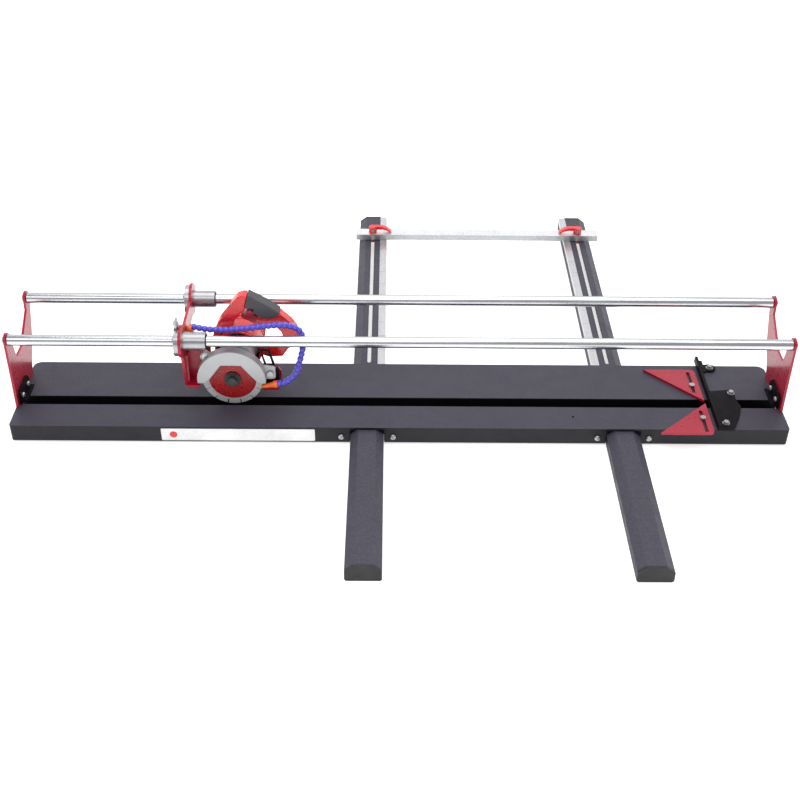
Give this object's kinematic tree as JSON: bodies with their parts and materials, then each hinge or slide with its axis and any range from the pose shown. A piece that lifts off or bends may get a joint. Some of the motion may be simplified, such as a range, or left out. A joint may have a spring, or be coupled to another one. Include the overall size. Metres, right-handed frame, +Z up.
{
  "type": "electric tile cutter",
  "caption": "Bench tile cutter with a slotted table, twin rails, a sliding disc saw with water nozzle, mitre gauges and a rear fence on extension legs.",
  "frame": {"origin": "centre of the overall bounding box in plan, at the floor under the legs", "axes": "+X along the table and the rails to the end stop, +Y from the operator side to the rear fence, +Z up"},
  "size_m": [1.402, 1.154, 0.2412],
  "materials": {
    "charcoal_paint": "satin textured powder coat",
    "black_paint": "satin black paint",
    "red_paint": "gloss red powder coat",
    "ground_chrome": "ground and hard-chromed shaft",
    "bright_steel": "bright zinc-plated steel",
    "cast_aluminium": "die-cast, fine blasted",
    "extruded_aluminium": "satin extruded",
    "red_plastic": "gloss moulded",
    "black_plastic": "fine textured moulding",
    "soft_grip": "matt soft grip",
    "hose_blue": "glossy moulded beads",
    "fitting_orange": "glossy moulding",
    "copper_windings": "enamelled copper wire and laminations",
    "carbon_brush": "dark pressed carbon"
  },
  "bodies": {
    "base": {"table_top": "charcoal_paint", "groove_trough": "black_paint", "leg_front_left": "charcoal_paint", "cap_front_left": "black_plastic", "saddle_front_left": "black_paint", "leg_front_right": "charcoal_paint", "cap_front_right": "black_plastic", "saddle_front_right": "black_paint", "leg_rear_left": "charcoal_paint", "cap_rear_left": "black_plastic", "saddle_rear_left": "black_paint", "leg_rear_right": "charcoal_paint", "cap_rear_right": "black_plastic", "saddle_rear_right": "black_paint", "ruler_left": "extruded_aluminium", "ruler_right": "extruded_aluminium", "rail_front": "ground_chrome", "rail_rear": "ground_chrome", "bracket_left": "red_paint", "bracket_right": "red_paint", "end_clamp_left": "black_paint", "end_clamp_right": "black_paint", "gauge_screw_rear": "bright_steel", "gauge_screw_front": "bright_steel", "stop_fence": "black_paint"},
    "fence": {"fence_bar": "extruded_aluminium"},
    "cam_left": {"fence_cam_left": "red_plastic"},
    "cam_right": {"fence_cam_right": "red_plastic"},
    "gauge_rear": {"angle_plate_rear": "red_paint"},
    "gauge_front": {"angle_plate_front": "red_paint"},
    "carriage": {"carriage_plate": "red_paint", "bearing_front": "bright_steel", "bearing_rear": "bright_steel", "saw_cradle": "red_paint", "pivot_screw": "bright_steel", "hose_base": "fitting_orange", "hose": "hose_blue"},
    "wing": {"wing_screw": "bright_steel"},
    "saw": {"gear_case": "cast_aluminium", "gear_cover": "cast_aluminium", "blade_guard": "cast_aluminium", "depth_strap": "black_paint", "strap_bolt": "bright_steel", "motor_housing": "red_plastic", "stator": "copper_windings", "rear_bearing": "bright_steel", "brush_left": "carbon_brush", "brush_right": "carbon_brush", "handle": "red_plastic", "grip": "soft_grip", "cable_gland": "soft_grip"},
    "disc": {"blade": "bright_steel", "flange_outer": "carbon_brush", "flange_inner": "carbon_brush", "blade_nut": "carbon_brush", "spindle": "bright_steel", "spindle_gear": "bright_steel"},
    "rotor": {"armature": "bright_steel"},
    "trigger": {"trigger": "red_plastic"},
    "spout": {"nozzle": "fitting_orange"}
  },
  "joints": [
    {"name": "carriage_slide", "type": "slide", "parent": "base", "child": "carriage", "axis": [1, 0, 0], "range_m": [-0.28, 0.83]},
    {"name": "saw_lift", "type": "hinge", "parent": "carriage", "child": "saw", "pos_m": [-0.35, -0.153, 0.1376], "axis": [0, -1, 0], "range_deg": [0, 10]},
    {"name": "blade_spin", "type": "hinge", "parent": "saw", "child": "disc", "pos_m": [-0.305, -0.153, 0.088], "axis": [0, 1, 0], "continuous": true},
    {"name": "rotor_spin", "type": "hinge", "parent": "saw", "child": "rotor", "pos_m": [-0.295, -0.093, 0.128], "axis": [0, 1, 0], "continuous": true},
    {"name": "trigger_press", "type": "slide", "parent": "saw", "child": "trigger", "axis": [0, 0, 1], "range_m": [0, 0.003], "stiffness_N_per_m": 200, "springref_m": -0.001},
    {"name": "wing_turn", "type": "hinge", "parent": "carriage", "child": "wing", "pos_m": [-0.3953, -0.16, 0.205], "axis": [0, 0, 1], "continuous": true},
    {"name": "nozzle_tilt", "type": "hinge", "parent": "carriage", "child": "spout", "pos_m": [-0.223, -0.159, 0.0805], "axis": [0, 1, 0], "range_deg": [-4, 4]},
    {"name": "fence_slide", "type": "slide", "parent": "base", "child": "fence", "axis": [0, 1, 0], "range_m": [-0.48, 0.03]},
    {"name": "cam_turn_left", "type": "hinge", "parent": "fence", "child": "cam_left", "pos_m": [-0.06, 0.4775, 0.05], "axis": [0, 0, 1], "range_deg": [-90, 90]},
    {"name": "cam_turn_right", "type": "hinge", "parent": "fence", "child": "cam_right", "pos_m": [0.402, 0.4775, 0.05], "axis": [0, 0, 1], "range_deg": [-90, 90]},
    {"name": "gauge_slide_rear", "type": "slide", "parent": "base", "child": "gauge_rear", "axis": [0, 1, 0], "range_m": [0, 0.016]},
    {"name": "gauge_slide_front", "type": "slide", "parent": "base", "child": "gauge_front", "axis": [0, -1, 0], "range_m": [0, 0.011]}
  ],
  "couplings": [
    {"joint": "rotor_spin", "follows": "blade_spin", "ratio": -2.7692}
  ]
}
